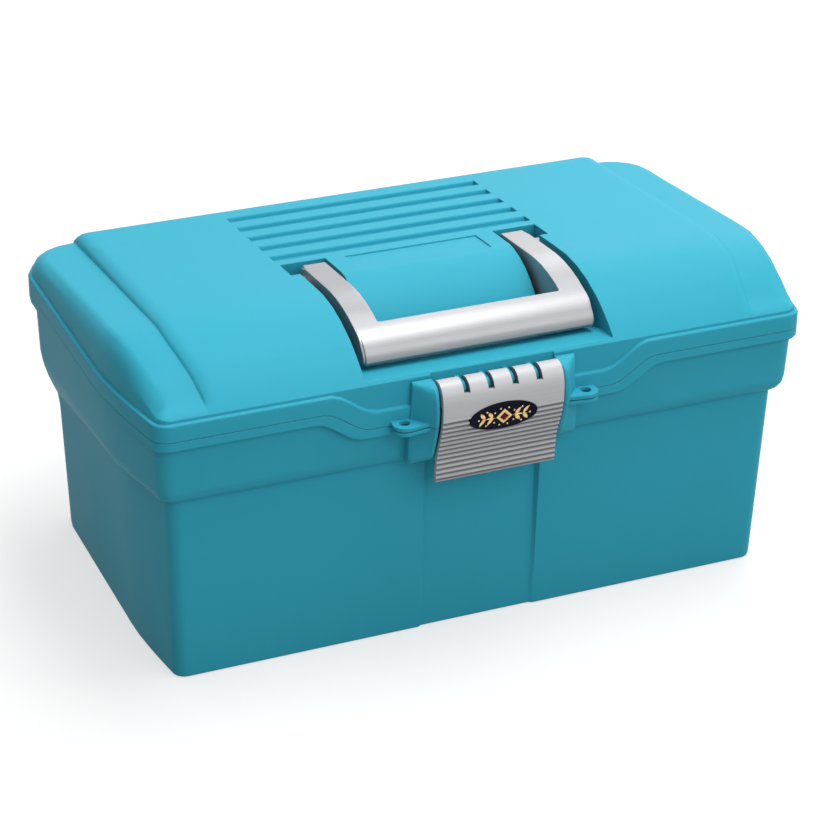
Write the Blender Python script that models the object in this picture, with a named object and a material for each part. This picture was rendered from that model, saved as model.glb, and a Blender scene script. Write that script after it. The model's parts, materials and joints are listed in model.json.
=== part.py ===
"""A moulded tack box: a drafted tub, a domed lid with a fold-down carry handle, a front latch
with an oval badge, two rear hinges and a lift-out tray.

Dimensions are in millimetres and meshes are made in metres. X runs along the box, -Y is the
front, and Z is up from the surface that the box stands on.
"""

from math import acos, asin, atan, copysign, cos, pi, radians, sin, sqrt, tan

import bmesh
import bpy
from mathutils import Vector

MM = 0.001
GAP = 0.3

# Plan of the shells: half length, half width, and depth below the outer surface
FLOOR_HALF = (185.2, 100.7, 0.0)
SHOULDER_HALF = (188.8, 104.8, 0.0)
COLLAR_LOW_HALF = (196.9, 110.9, 0.0)
COLLAR_HIGH_HALF = (197.8, 112.2, 0.0)
BAND_HALF = (200.8, 115.4, 0.0)
WALL = 2.6

# End walls draw in towards tight front corners: the draw, the front radius and the back radius
BOW_START = 40.0
FLOOR_CORNER = (6.8, 7.5, 23.0)
BAND_CORNER = (11.3, 10.0, 31.0)
CORNER_STEPS = 5
END_ROWS = (-88.0, -76.0, -64.0, -50.0, -36.0, 20.0, 75.0)
SIDE_X = 160.0

# Heights of the tub
STANDING_RING_DEPTH = 2.0
STANDING_RING_WIDTH = 9.0
SHOULDER_Z = 113.5
COLLAR_Z = 123.0
COLLAR_FALL = 24.0
COLLAR_FALL_RUN = (-90.0, 90.0)
LEDGE_Z = 118.2
BAND_LOW_Z = 149.3
PARTING_Z = 155.0
TUB_EDGE_Z = PARTING_Z - GAP / 3.0
LID_EDGE_Z = PARTING_Z + GAP * 2.0 / 3.0
LIP_Z = 158.4
LIP_INSET = (2.9, 4.9)
SKIRT_WALL = 2.4
RIM_Z = 165.0

# The band dips towards the latch
DIP = 13.5
DIP_FLAT = 67.0
DIP_RUN = 27.0
DIP_SPREAD = 8.5

# Recessed strip down the front of the tub
STRIP_HALF = 33.5
STRIP_EDGE = 1.5
STRIP_DEPTH_FLOOR = 1.2
STRIP_DEPTH_TOP = 4.3

# Top of the lid
CROWN_Y = -50.0
CROWN_Z = 192.4
CROWN_RADIUS = 90.0
BACK_SLOPE = 0.087
STEP_BACK = 5.6
STEP_FRONT = 3.4
STEP_ROUND = 8.0
CREASE_X = 167.5
CREASE_X_FRONT = 161.0
SIDE_ROUND = 10.0
LID_RING_STEPS = (0.0, 0.5, 1.7, 3.6, 6.4, 10.0, 14.0, 20.0)
CORE_RING_STEPS = (1.6, 5.0, 10.0, 17.0)
LID_THICK = 2.8
HOLLOW_STEP = 3.0
GROOVE_BACKING = 2.2

# Grooves across the raised section
GROOVE_COUNT = 5
GROOVE_FIRST_Y = 87.6
GROOVE_PITCH = 18.25
GROOVE_HALF_LENGTH = 79.5
GROOVE_WIDTH = 8.0
GROOVE_DEPTH = 3.2

# Handle recess and its pad
RECESS_HALF = 73.2
RECESS_Y = (-112.4, -84.0)
RECESS_FLOOR_Z = 163.4
PAD_HALF = 51.5
PAD_PEAK = (-17.0, 190.4)
PAD_RADII = (95.0, 52.0)
PAD_WALL = 2.6
POCKET_HALF = 78.6
POCKET_Y = (-14.8, 3.3)
POCKET_FLOOR_Z = 168.6
CLEAR_Z = 205.0
RECESS_WALL = 2.4
PLAQUE_HALF = 40.4
PLAQUE_Y = (-20.6, 1.4)
PLAQUE_DEPTH = 0.8

# Handle and its pins
HANDLE_PIVOT = (-9.0, 180.0)
ARM_X = (54.2, 68.3)
ARM_WALL = 3.2
ARM_ROUND = 1.2
BARREL_RADIUS = 5.0
BAR_BACK_Y = -81.4
WINDOW_CORNER = 1.6
HANDLE_PIN_X = (50.2, 79.2)
BARREL_X = (52.4, 77.6)
PIN_RADIUS = 1.6
PIN_CLEARANCE = 0.3
PIN_END_ROOM = 0.4

# Latch
LATCH_PIVOT = (-120.2, 159.8)
LATCH_HALF = 35.5
LATCH_THICK = 2.6
LATCH_FACE_Y = -129.5
LATCH_DRAW = 7.9
LATCH_BEND_Z = (148.0, 118.0)
LATCH_BOTTOM_Z = 105.0
ROLL_RADIUS = 6.3
RIB_COUNT = 13
RIB_DEPTH = 0.8
SLOT_X = (-21.3, -7.1, 7.1, 21.3)
SLOT_WIDTH = 3.6
LUG_WIDTH = 2.4
LUG_RADIUS = 3.9
LATCH_ROD_HALF = 40.4
BADGE_Z = 143.0
BADGE_HALF = (19.9, 8.6)
BADGE_THICK = 1.6
BADGE_ROOM = 0.25
BADGE_PROUD = 0.35
ORNAMENT_SINK = -BADGE_PROUD - GAP / 3.0

# Bay in the lid's band for the latch, and the cheeks and padlock tabs beside it
BAY_BACK_Y = -112.3
CHEEK_X = (36.4, 47.8)
CHEEK_LEAN = 2.2
TAB_X = 53.6
TAB_Y = -119.3
TAB_RADIUS = 6.9
TAB_HOLE = 3.05
TAB_THICK = 2.3

# Catch rib that the latch closes over
CATCH_HALF = 29.0
CATCH_Y = -116.0
CATCH_Z = (127.8, 131.2)

# Rear hinges
HINGE_AXIS = (123.2, 153.0)
HINGE_X = (-112.0, 112.0)
KNUCKLE_RADIUS = 5.0
KNUCKLE_HALF = 9.0
KNUCKLE_GAP = 0.4
OUTER_KNUCKLE = 12.0

# Lift-out tray
TRAY_LOW_HALF = (190.6, 105.0, 6.0)
TRAY_HIGH_HALF = (193.6, 108.0, 4.0)
TRAY_Z = (118.6, 145.0)
TRAY_WALL = 2.2
TRAY_END_X = 66.0
DIVIDER_THICK = 2.2
GRIP_HALF = 3.2
TRAY_GRIP_TOP = 151.0

TEAL = (0.045, 0.36, 0.45, 1.0)
SILVER = (0.62, 0.63, 0.65, 1.0)
STEEL = (0.55, 0.55, 0.56, 1.0)
NAVY = (0.01, 0.012, 0.035, 1.0)
GOLD = (0.78, 0.57, 0.22, 1.0)


def clear_scene():
    for obj in list(bpy.data.objects):
        bpy.data.objects.remove(obj, do_unlink=True)


def make_material(name, colour, roughness, metallic=0.0):
    material = bpy.data.materials.new(name)
    material.use_nodes = True
    shader = material.node_tree.nodes["Principled BSDF"]
    shader.inputs["Base Color"].default_value = colour
    shader.inputs["Roughness"].default_value = roughness
    shader.inputs["Metallic"].default_value = metallic
    return material


def smooth(t):
    t = min(max(t, 0.0), 1.0)
    return t * t * (3.0 - 2.0 * t)


def between(a, b, t):
    return tuple(p + (q - p) * t for p, q in zip(a, b))


def inset(half, distance):
    return (half[0] - distance, half[1] - distance, half[2] + distance)


def mirrored(values):
    return [-v for v in reversed(values) if v > 0] + list(values)


# Columns along the front and back of a ring
DIP_COLUMNS = [DIP_FLAT + 5.2 * i for i in range(8)]
STRIP_COLUMNS = [STRIP_HALF + d for d in (0.0, STRIP_EDGE, 0.9 * WALL, 0.9 * WALL + STRIP_EDGE)]
TUB_FRONT = mirrored([0.0] + STRIP_COLUMNS + [52.0] + DIP_COLUMNS + [138.0, SIDE_X])
TUB_BACK = mirrored([0.0, 60.0, 120.0])
STEP_COLUMNS = [CREASE_X - d for d in (STEP_ROUND, 4.6, 1.8, 0.5, 0.0)]
LID_COLUMNS = mirrored([0.0, 40.0] + DIP_COLUMNS + [128.0, 150.0] + STEP_COLUMNS)


def end_wall(half):
    """(x, y, facing) down the right end of a ring; facing is 1 on the front and 0 round the corner."""
    share = (half[0] + half[2] - FLOOR_HALF[0]) / (BAND_HALF[0] - FLOOR_HALF[0])
    draw, front_radius, back_radius = between(FLOOR_CORNER, BAND_CORNER, share)
    front_radius = max(front_radius - half[2], 2.5)
    back_radius = max(back_radius - half[2], 4.0)
    run = half[1] + half[2] - BOW_START

    def wall_x(y):
        return half[0] - draw * (max(-y - BOW_START, 0.0) / run) ** 1.5

    turn = pi / 2.0 - atan(1.5 * draw / run)
    corner_x = wall_x(-half[1]) - front_radius * tan(turn / 2.0)
    points = []
    for i in range(CORNER_STEPS + 1):
        a = turn * i / CORNER_STEPS
        x = corner_x + front_radius * sin(a)
        points.append((x, -half[1] + front_radius * (1.0 - cos(a)), cos(pi / 2.0 * i / CORNER_STEPS)))
    points += [(wall_x(y), y, 0.0) for y in END_ROWS]
    for i in range(CORNER_STEPS + 1):
        a = pi / 2.0 * i / CORNER_STEPS
        x = half[0] - back_radius * (1.0 - cos(a))
        points.append((x, half[1] - back_radius * (1.0 - sin(a)), 0.0))
    return points


def plan(half, front, back):
    """(x, y, facing) round a ring: the front from left to right, the right end, the back, the left end."""
    ends = end_wall(half)
    points = [(x, -half[1], 1.0) for x in front] + ends
    points += [(x, half[1], 0.0) for x in reversed(back)]
    return points + [(-x, y, facing) for x, y, facing in reversed(ends)]


def ring(half, z, front=TUB_FRONT, back=TUB_BACK, dip=0.0, spread=0.0, strip=0.0, fall=0.0):
    """The points of one closed ring, with the front's dip in height and recess in depth, and the
    fall in height along the ends towards the back."""
    points = []
    fall_from, fall_to = COLLAR_FALL_RUN
    for i, (x, y, _) in enumerate(plan(half, front, back)):
        drop = depth = 0.0
        if i < len(front):
            drop = dip * (1.0 - smooth((abs(x) - DIP_FLAT - spread) / DIP_RUN))
            depth = strip * (1.0 - smooth((abs(x) - STRIP_HALF - 0.9 * half[2]) / STRIP_EDGE))
        drop += fall * min(max((y - fall_from) / (fall_to - fall_from), 0.0), 1.0)
        points.append((x, y + depth, z - drop))
    return points


def new_mesh(bm, name):
    quads = [f for f in bm.faces if len(f.verts) == 4]
    bmesh.ops.connect_verts_nonplanar(bm, angle_limit=0.0005, faces=quads)
    bmesh.ops.recalc_face_normals(bm, faces=bm.faces)
    mesh = bpy.data.meshes.new(name)
    bm.to_mesh(mesh)
    bm.free()
    return mesh


def hang(obj, parent):
    """Puts an object under a parent without moving it; no parent here is turned or scaled."""
    obj.parent = parent
    while parent:
        obj.location -= parent.location
        parent = parent.parent


def add_object(name, bm, material, origin=(0.0, 0.0, 0.0), parent=None, helper=False):
    """The mesh as an object whose origin lies at the given place, under a joint's empty where it has one."""
    bmesh.ops.translate(bm, verts=bm.verts, vec=-Vector(origin) * MM)
    mesh = new_mesh(bm, name)
    mesh.materials.append(material)
    obj = bpy.data.objects.new(name, mesh)
    bpy.context.scene.collection.objects.link(obj)
    obj.location = Vector(origin) * MM
    hang(obj, parent)
    if helper:
        obj.hide_render = True
        obj.display_type = "WIRE"
    else:
        mesh.shade_smooth()
        mesh.set_sharp_from_angle(angle=radians(32.0))
    return obj


def joint_empty(name, axis, parent=None):
    """A point on the (y, z) axis of a joint, which what turns on it hangs from."""
    empty = bpy.data.objects.new(name, None)
    empty.location = Vector((0.0, *axis)) * MM
    empty.empty_display_size = 0.03
    hang(empty, parent)
    bpy.context.scene.collection.objects.link(empty)
    return empty


def boolean(obj, tool, operation):
    modifier = obj.modifiers.new(tool.name, "BOOLEAN")
    modifier.operation = operation
    modifier.object = tool
    modifier.solver = "EXACT"


def loft(bm, rings, cap_first=True, cap_last=True):
    """Skins closed rings of equal length one after another, with flat ends."""
    loops = [[bm.verts.new(Vector(p) * MM) for p in points] for points in rings]
    count = len(loops[0])
    for lower, upper in zip(loops, loops[1:]):
        for i in range(count):
            j = (i + 1) % count
            bm.faces.new((lower[i], lower[j], upper[j], upper[i]))
    if cap_first:
        bm.faces.new(reversed(loops[0]))
    if cap_last:
        bm.faces.new(loops[-1])
    return loops


def prism_x(bm, profile, x0, x1):
    """A (y, z) outline extruded along X."""
    loft(bm, [[(x, y, z) for y, z in profile] for x in (x0, x1)])


def prism_z(bm, outline, z0, z1):
    """An (x, y) outline extruded along Z."""
    loft(bm, [[(x, y, z) for x, y in outline] for z in (z0, z1)])


def box(bm, x, y, z):
    prism_z(bm, [(x[0], y[0]), (x[1], y[0]), (x[1], y[1]), (x[0], y[1])], z[0], z[1])


def circle(centre, radius, steps=20, start=0.0, sweep=2.0 * pi):
    """Points round a circle in whichever plane the caller works in."""
    closed = abs(sweep - 2.0 * pi) < 1e-6
    count = steps if closed else steps + 1
    angles = [start + sweep * i / steps for i in range(count)]
    return [(centre[0] + radius * cos(a), centre[1] + radius * sin(a)) for a in angles]


def rod_x(bm, centre, radius, x0, x1, steps=20):
    prism_x(bm, circle(centre, radius, steps), x0, x1)


def helper(name, build, material):
    """A cutter or a joined-in shape, kept out of the render."""
    bm = bmesh.new()
    build(bm)
    return add_object(name, bm, material, helper=True)


def join(obj, name, build):
    boolean(obj, helper(name, build, obj.data.materials[0]), "UNION")


def cut(obj, name, build):
    boolean(obj, helper(name, build, obj.data.materials[0]), "DIFFERENCE")


# Shape of the lid's top


def crown(y):
    """Height of the raised section: an arc over the front, then a line falling to the back."""
    tangent_y = CROWN_Y + CROWN_RADIUS * sin(atan(BACK_SLOPE))
    arc_y = min(y, tangent_y) - CROWN_Y
    height = CROWN_Z - CROWN_RADIUS + sqrt(CROWN_RADIUS**2 - arc_y**2)
    return height - BACK_SLOPE * max(y - tangent_y, 0.0)


def crease_x(y):
    """Foot of the step between the raised section and the side ledge: it draws in at the front."""
    return CREASE_X + (CREASE_X_FRONT - CREASE_X) * smooth((-y - 62.0) / 50.0)


def beside_step(x, y):
    """A column of the lid's grid, moved so that those on the step follow its foot."""
    drawn_in = (CREASE_X - crease_x(y)) * smooth((abs(x) - 130.0) / 25.0)
    return x - copysign(drawn_in, x)


def lid_top(x, y, inside=0.0):
    """Height of the lid; 'inside' moves the step inwards for the hollow under it."""
    step = STEP_FRONT + (STEP_BACK - STEP_FRONT) * min(max((y + 60.0) / 155.0, 0.0), 1.0)
    step *= 1.0 - smooth((-y - 102.0) / 11.0)
    rise = min(max((crease_x(y) - inside - abs(x)) / STEP_ROUND, 0.0), 1.0)
    return crown(y) - step * (1.0 - sqrt(1.0 - (1.0 - rise) ** 2))


def side_factor(distance, span, facing):
    """How far the lid's side has risen at this distance in from its rim: sheer at the ends and the
    back, and already whole at the front, where the crown itself comes down to the rim."""
    share = sqrt(1.0 - (1.0 - min(distance / span, 1.0)) ** 2)
    return share + (1.0 - share) * smooth(facing)


def dome(bm, lower, half, base_z, distances, span, columns, hollow=False):
    """Skins a lid top onto the ring of vertices 'lower': rings that step in from the rim, then a grid.
    The hollow under the top lies lower by the wall's thickness, and more under the grooves."""

    def height(x, y, factor):
        top = lid_top(x, y, HOLLOW_STEP if hollow else 0.0)
        if hollow:
            top -= LID_THICK
            top -= GROOVE_BACKING * (1.0 - smooth((abs(x) - 84.0) / 6.0)) * smooth((y - 4.0) / 5.0)
        return base_z + (top - base_z) * factor

    for distance in distances:
        points = plan(inset(half, distance), columns, columns)
        upper = []
        for x, y, facing in points:
            if abs(x) <= columns[-1]:
                x = beside_step(x, y)
            factor = side_factor(distance, span, facing)
            upper.append(bm.verts.new(Vector((x, y, height(x, y, factor))) * MM))
        count = len(points)
        for i in range(count):
            j = (i + 1) % count
            bm.faces.new((lower[i], lower[j], upper[j], upper[i]))
        lower = upper
    width = len(columns)
    ends = (len(lower) - 2 * width) // 2
    right = lower[width : width + ends]
    left = list(reversed(lower[2 * width + ends :]))
    rows = []
    for k in range(ends):
        y = right[k].co.y / MM
        if k == 0:
            middle = lower[:width]
        elif k == ends - 1:
            middle = list(reversed(lower[width + ends : 2 * width + ends]))
        else:
            spots = [(beside_step(x, y), y) for x in columns]
            middle = [bm.verts.new(Vector((*spot, height(*spot, 1.0))) * MM) for spot in spots]
        rows.append([left[k]] + middle + [right[k]])
    for near, far in zip(rows, rows[1:]):
        for i in range(width + 1):
            bm.faces.new((near[i], near[i + 1], far[i + 1], far[i]))


# Tub


def lower_wall(z):
    return between(FLOOR_HALF, SHOULDER_HALF, z / SHOULDER_Z)


def strip_depth(z):
    return STRIP_DEPTH_FLOOR + (STRIP_DEPTH_TOP - STRIP_DEPTH_FLOOR) * z / SHOULDER_Z


def tub_outside():
    rings = [ring(inset(FLOOR_HALF, STANDING_RING_WIDTH + 0.8), STANDING_RING_DEPTH)]
    rings.append(ring(inset(FLOOR_HALF, STANDING_RING_WIDTH), 0.0))
    rings.append(ring(inset(FLOOR_HALF, 1.6), 0.0, strip=strip_depth(0.0)))
    rings.append(ring(inset(FLOOR_HALF, 0.5), 0.6, strip=strip_depth(0.0)))
    for z in (2.0, 40.0, 80.0):
        rings.append(ring(lower_wall(z), z, strip=strip_depth(z)))
    top = SHOULDER_Z - 0.7
    rings.append(ring(lower_wall(top), top, strip=strip_depth(top), fall=COLLAR_FALL))
    rings.append(ring(SHOULDER_HALF, SHOULDER_Z, fall=COLLAR_FALL))
    for degrees in (18.0, 40.0, 62.0, 90.0):
        a = radians(degrees)
        half = between(SHOULDER_HALF, COLLAR_LOW_HALF, sin(a))
        z = COLLAR_Z - (COLLAR_Z - SHOULDER_Z - 0.3) * cos(a)
        rings.append(ring(half, z, fall=COLLAR_FALL * (1.0 - 0.72 * sin(a))))
    low = dict(dip=DIP, spread=DIP_SPREAD)
    rings.append(ring(COLLAR_HIGH_HALF, BAND_LOW_Z - 0.7, **low))
    rings.append(ring(inset(BAND_HALF, 0.7), BAND_LOW_Z - 0.1, **low))
    rings.append(ring(BAND_HALF, BAND_LOW_Z + 0.8, **low))
    return rings


def tub_inside():
    """From the rim's outer edge over the upstanding lip and down to the floor."""
    parting = dict(dip=DIP, spread=DIP_SPREAD / 2.0)
    outer, inner = LIP_INSET
    rings = [ring(BAND_HALF, TUB_EDGE_Z, **parting)]
    rings.append(ring(inset(BAND_HALF, outer), TUB_EDGE_Z, **parting))
    rings.append(ring(inset(BAND_HALF, outer), LIP_Z, **parting))
    rings.append(ring(inset(BAND_HALF, inner), LIP_Z, **parting))
    rings.append(ring(inset(COLLAR_HIGH_HALF, WALL), BAND_LOW_Z - 3.0, **parting))
    rings.append(ring(inset(COLLAR_LOW_HALF, WALL), LEDGE_Z + 0.8))
    rings.append(ring(inset(COLLAR_LOW_HALF, WALL + 0.8), LEDGE_Z))
    rings.append(ring(inset(SHOULDER_HALF, WALL), LEDGE_Z - 1.0, strip=strip_depth(SHOULDER_Z)))
    for z in (80.0, 40.0, 9.0):
        rings.append(ring(inset(lower_wall(z), WALL), z, strip=strip_depth(z)))
    rings.append(ring(inset(FLOOR_HALF, WALL + 1.4), 5.4, strip=strip_depth(0.0)))
    rings.append(ring(inset(FLOOR_HALF, WALL + 4.5), STANDING_RING_DEPTH + WALL))
    return rings


def latch_outer_y(z):
    """Front face of the latch plate: it bulges in the middle and draws in towards its foot."""
    high, low = LATCH_BEND_Z
    if z >= high:
        return LATCH_FACE_Y + 2.3 * smooth((z - high - 4.0) / 13.0)
    if z >= low:
        return LATCH_FACE_Y + LATCH_DRAW * smooth((high - z) / 36.0) / smooth((high - low) / 36.0)
    return LATCH_FACE_Y + LATCH_DRAW + 0.8 * (low - z) / (low - LATCH_BOTTOM_Z)


def collar_root(z):
    """Just inside the front of the tub, where the quarter ellipse under the collar runs up to it."""
    angle = acos(min(max((COLLAR_Z - z) / (COLLAR_Z - SHOULDER_Z - 0.3), 0.0), 1.0))
    return -SHOULDER_HALF[1] - sin(angle) * (COLLAR_LOW_HALF[1] - SHOULDER_HALF[1]) + 1.3


def cheek_section(side, z, root_y):
    """A tapered fairing: it stands almost as proud as the latch beside it and falls away outwards."""
    front = latch_outer_y(z) + 1.2
    fade = smooth((z - 112.0) / 10.0)
    front = root_y + (front - root_y) * (0.35 + 0.65 * fade)
    outer = min(-113.0 - 4.0 * fade, root_y - 1.5)
    x0, x1 = CHEEK_X
    x1 += CHEEK_LEAN * smooth((165.0 - z) / 38.0)
    outline = [(x0, root_y), (x0, front + 1.4), (x0 + 0.8, front + 0.3), (x0 + 2.4, front)]
    outline += [(x0 + 5.6, front + (outer - front) * 0.38), (x1 - 1.6, outer - 0.9)]
    outline += [(x1, outer + 0.8), (x1, root_y)]
    return [(side * x, y, z) for x, y in outline]


def cheek(bm, side, levels, root):
    loft(bm, [cheek_section(side, z, root(z)) for z in levels])


def padlock_tab(bm, side, z0, z1):
    round_end = circle((TAB_X, TAB_Y), TAB_RADIUS, 8, start=-pi * 0.55, sweep=pi * 0.7)
    root_x, root_y = CHEEK_X[0] + 2.0, 1.2 - BAND_HALF[1]
    outline = [(root_x, root_y), (root_x, TAB_Y - 4.6)] + round_end
    outline += [(TAB_X + TAB_RADIUS + 0.4, root_y)]
    prism_z(bm, [(side * x, y) for x, y in outline], z0, z1)


def tab_bores(bm):
    for side in (-1, 1):
        outline = circle((side * TAB_X, TAB_Y), TAB_HOLE, 16)
        prism_z(bm, outline, PARTING_Z - DIP - 15.0, PARTING_Z - DIP + 15.0)


def hinge_bores(bm):
    for x in HINGE_X:
        rod_x(bm, HINGE_AXIS, PIN_RADIUS + PIN_CLEARANCE, x - 40.0, x + 40.0, 12)


def tub_cheeks(bm):
    levels = (116.6, 118.0, 120.5, 124.0, 129.0, 135.0, TUB_EDGE_Z - DIP - 0.1)
    for side in (-1, 1):
        cheek(bm, side, levels, collar_root)


def tub_tabs(bm):
    low = TUB_EDGE_Z - DIP
    for side in (-1, 1):
        padlock_tab(bm, side, low - TAB_THICK, low - 0.2)


def tub_knuckles(bm):
    for x in HINGE_X:
        rod_x(bm, HINGE_AXIS, KNUCKLE_RADIUS, x - KNUCKLE_HALF, x + KNUCKLE_HALF)


def tub_knuckle_webs(bm):
    y, z = HINGE_AXIS
    root_y = COLLAR_HIGH_HALF[1] - 1.0
    profile = [(root_y, z - 2.6), (root_y, z - 8.0), (y - 1.0, z - 4.4), (y, z - 1.0)]
    reach = KNUCKLE_HALF - KNUCKLE_GAP
    for x in HINGE_X:
        prism_x(bm, profile, x - reach, x + reach)


def tub_catch(bm):
    """The rib that the latch's bead closes under."""
    box(bm, (-CATCH_HALF, CATCH_HALF), (CATCH_Y, -109.0), CATCH_Z)


def build_tub(material):
    bm = bmesh.new()
    loft(bm, tub_outside() + tub_inside())
    tub = add_object("base_tub", bm, material)
    join(tub, "tub_cheeks", tub_cheeks)
    join(tub, "tub_tabs", tub_tabs)
    join(tub, "tub_knuckles", tub_knuckles)
    join(tub, "tub_knuckle_webs", tub_knuckle_webs)
    join(tub, "tub_catch", tub_catch)
    cut(tub, "tub_tab_bores", tab_bores)
    cut(tub, "tub_hinge_bores", hinge_bores)


# Lid


def lid_lower_rings():
    """From the cap inside the skirt, down and round its edge, and up the band to the rim."""
    part = dict(front=LID_COLUMNS, back=LID_COLUMNS, dip=DIP, spread=DIP_SPREAD / 2.0)
    top = dict(front=LID_COLUMNS, back=LID_COLUMNS, dip=DIP)
    skirt = inset(BAND_HALF, SKIRT_WALL)
    rings = [ring(inset(BAND_HALF, LIP_INSET[1]), RIM_Z - 1.6, LID_COLUMNS, LID_COLUMNS)]
    rings.append(ring(inset(BAND_HALF, LIP_INSET[1]), LIP_Z + 1.2, **part))
    rings.append(ring(skirt, LIP_Z + 0.8, **part))
    rings.append(ring(skirt, LID_EDGE_Z, **part))
    rings.append(ring(BAND_HALF, LID_EDGE_Z, **part))
    rings.append(ring(BAND_HALF, RIM_Z - 1.8, **top))
    rings.append(ring(inset(BAND_HALF, 0.4), RIM_Z - 0.6, **top))
    rings.append(ring(inset(BAND_HALF, 1.2), RIM_Z, **top))
    rings.append(ring(inset(BAND_HALF, 2.2), RIM_Z + 0.1, **top))
    return rings


def recess_profile(offset=0.0):
    """(y, z) outline of the handle recess; a positive offset makes the wall round it."""
    floor = RECESS_FLOOR_Z - offset
    step = POCKET_FLOOR_Z - offset
    front_y, ramp_y = RECESS_Y
    front = [(front_y, CLEAR_Z), (front_y, crown(front_y + 1.2) - offset), (ramp_y - 4.0, floor + 0.6)]
    back = [(ramp_y, floor), (POCKET_Y[0] - 5.2 - offset, floor), (POCKET_Y[0] - offset, step)]
    back += [(POCKET_Y[1] + offset, step), (POCKET_Y[1] + offset, CLEAR_Z)]
    return front + back


def crown_line(y_from, y_to, drop, steps=10):
    spots = [y_from + (y_to - y_from) * i / steps for i in range(steps + 1)]
    return [(y, crown(y) - drop) for y in spots]


def pad_profile(offset=0.0):
    """(y, z) outline of the convex pad that fingers pass over to reach the bar: an arc over its top
    and a tighter one down its front, with straight sides below."""
    back_radius, front_radius = PAD_RADII
    rise = asin((POCKET_Y[1] - PAD_PEAK[0]) / back_radius)
    line = []
    for radius, centre_y, angles in (
        (back_radius, PAD_PEAK[0], (rise, rise / 2.0)),
        (front_radius, PAD_PEAK[0] - 2.0, [-radians(9.0 * i) for i in range(8)]),
    ):
        line += [(centre_y + radius * sin(a), PAD_PEAK[1] - radius * (1.0 - cos(a))) for a in angles]
    if offset:
        line = [(y - offset * (y - PAD_PEAK[0]) / back_radius, z - offset) for y, z in line]
    low = RECESS_FLOOR_Z - 13.4
    return line + [(line[-1][0] + offset, low), (POCKET_Y[1] - offset, low)]


def lid_core(bm):
    """The hollow under the lid's top."""
    half = inset(BAND_HALF, LIP_INSET[1] + 0.6)
    columns = mirrored([0.0, 40.0, 84.0, 92.0, 130.0] + [x - HOLLOW_STEP for x in STEP_COLUMNS])
    levels = [ring(half, z, columns, columns) for z in (RIM_Z - 6.0, RIM_Z)]
    top = loft(bm, levels, cap_last=False)[-1]
    dome(bm, top, half, RIM_Z, CORE_RING_STEPS, SIDE_ROUND - 2.0, columns, hollow=True)


def recess_body(bm):
    lower = recess_profile(RECESS_WALL)[1:-1]
    upper = crown_line(POCKET_Y[1] + RECESS_WALL, RECESS_Y[0] + 1.0, 1.4)
    prism_x(bm, lower + upper, -RECESS_HALF - RECESS_WALL, RECESS_HALF + RECESS_WALL)


def recess_cut(bm):
    prism_x(bm, recess_profile(), -RECESS_HALF, RECESS_HALF)


def pad_block(bm):
    prism_x(bm, pad_profile(), -PAD_HALF, PAD_HALF)


def pad_hollow(bm):
    prism_x(bm, pad_profile(PAD_WALL), -PAD_HALF + PAD_WALL, PAD_HALF - PAD_WALL)


def pocket_bodies(bm):
    """Walls round the two pockets that the handle's arms turn in."""
    y0, y1 = POCKET_Y[0] - RECESS_WALL, POCKET_Y[1] + RECESS_WALL
    profile = [(y, POCKET_FLOOR_Z - RECESS_WALL) for y in (y0, y1)] + crown_line(y1, y0, 1.4, 3)
    for side in (-1, 1):
        prism_x(bm, profile, *sorted((side * PAD_HALF, side * (POCKET_HALF + RECESS_WALL))))


def pocket_cuts(bm):
    for side in (-1, 1):
        spots = sorted((side * (PAD_HALF + 0.02), side * POCKET_HALF))
        box(bm, spots, POCKET_Y, (POCKET_FLOOR_Z, CLEAR_Z))


def handle_bores(bm):
    inner, outer = HANDLE_PIN_X
    for side in (-1, 1):
        spots = sorted((side * (inner - PIN_END_ROOM), side * (outer + PIN_END_ROOM)))
        rod_x(bm, HANDLE_PIVOT, PIN_RADIUS + PIN_CLEARANCE, *spots, 12)


def grooves(bm):
    """Each has steep walls and a floor along the crown; its back wall is rounded over at the top."""
    half = GROOVE_WIDTH / 2.0
    for i in range(GROOVE_COUNT):
        y = GROOVE_FIRST_Y - GROOVE_PITCH * i
        near, far = crown(y - half), crown(y + half)
        low = [(y - half, near + 1.0), (y - half + 0.2, near - GROOVE_DEPTH + 0.6)]
        low += [(y - half + 0.9, near - GROOVE_DEPTH), (y + half - 1.1, far - GROOVE_DEPTH)]
        back = [(y + half - 0.2, far - GROOVE_DEPTH + 0.9), (y + half, far - 0.9)]
        back += [(y + half + 0.5, far - 0.3), (y + half + 1.4, far + 0.2), (y + half + 1.4, near + 1.0)]
        prism_x(bm, low + back, -GROOVE_HALF_LENGTH, GROOVE_HALF_LENGTH)


def plaque(bm):
    near, far = [(y, crown(y) - PLAQUE_DEPTH) for y in PLAQUE_Y]
    prism_x(bm, [near, far, (far[0], CLEAR_Z), (near[0], CLEAR_Z)], -PLAQUE_HALF, PLAQUE_HALF)


def latch_bay(bm):
    box(bm, (-CHEEK_X[0], CHEEK_X[0]), (-140.0, BAY_BACK_Y), (PARTING_Z - DIP - 10.0, CLEAR_Z))


def latch_lugs(bm):
    z = LATCH_PIVOT[1]
    back = [(BAY_BACK_Y + 0.7, z + 3.6), (BAY_BACK_Y + 0.7, z - 3.6)]
    nose = circle(LATCH_PIVOT, LUG_RADIUS, 9, start=-pi * 0.5, sweep=-pi)
    for x in SLOT_X:
        prism_x(bm, back + nose, x - LUG_WIDTH / 2.0, x + LUG_WIDTH / 2.0)


def latch_rod_bore(bm):
    reach = LATCH_ROD_HALF + 2.0 * PIN_END_ROOM
    rod_x(bm, LATCH_PIVOT, PIN_RADIUS + PIN_CLEARANCE, -reach, reach, 12)


def lid_cheeks(bm):
    levels = (LID_EDGE_Z - DIP + 0.1, 147.0, 151.0, 156.0, 161.0, 163.6, RIM_Z - 0.1)
    for side in (-1, 1):
        cheek(bm, side, levels, lambda z: -BAND_HALF[1] + 1.7)


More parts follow.
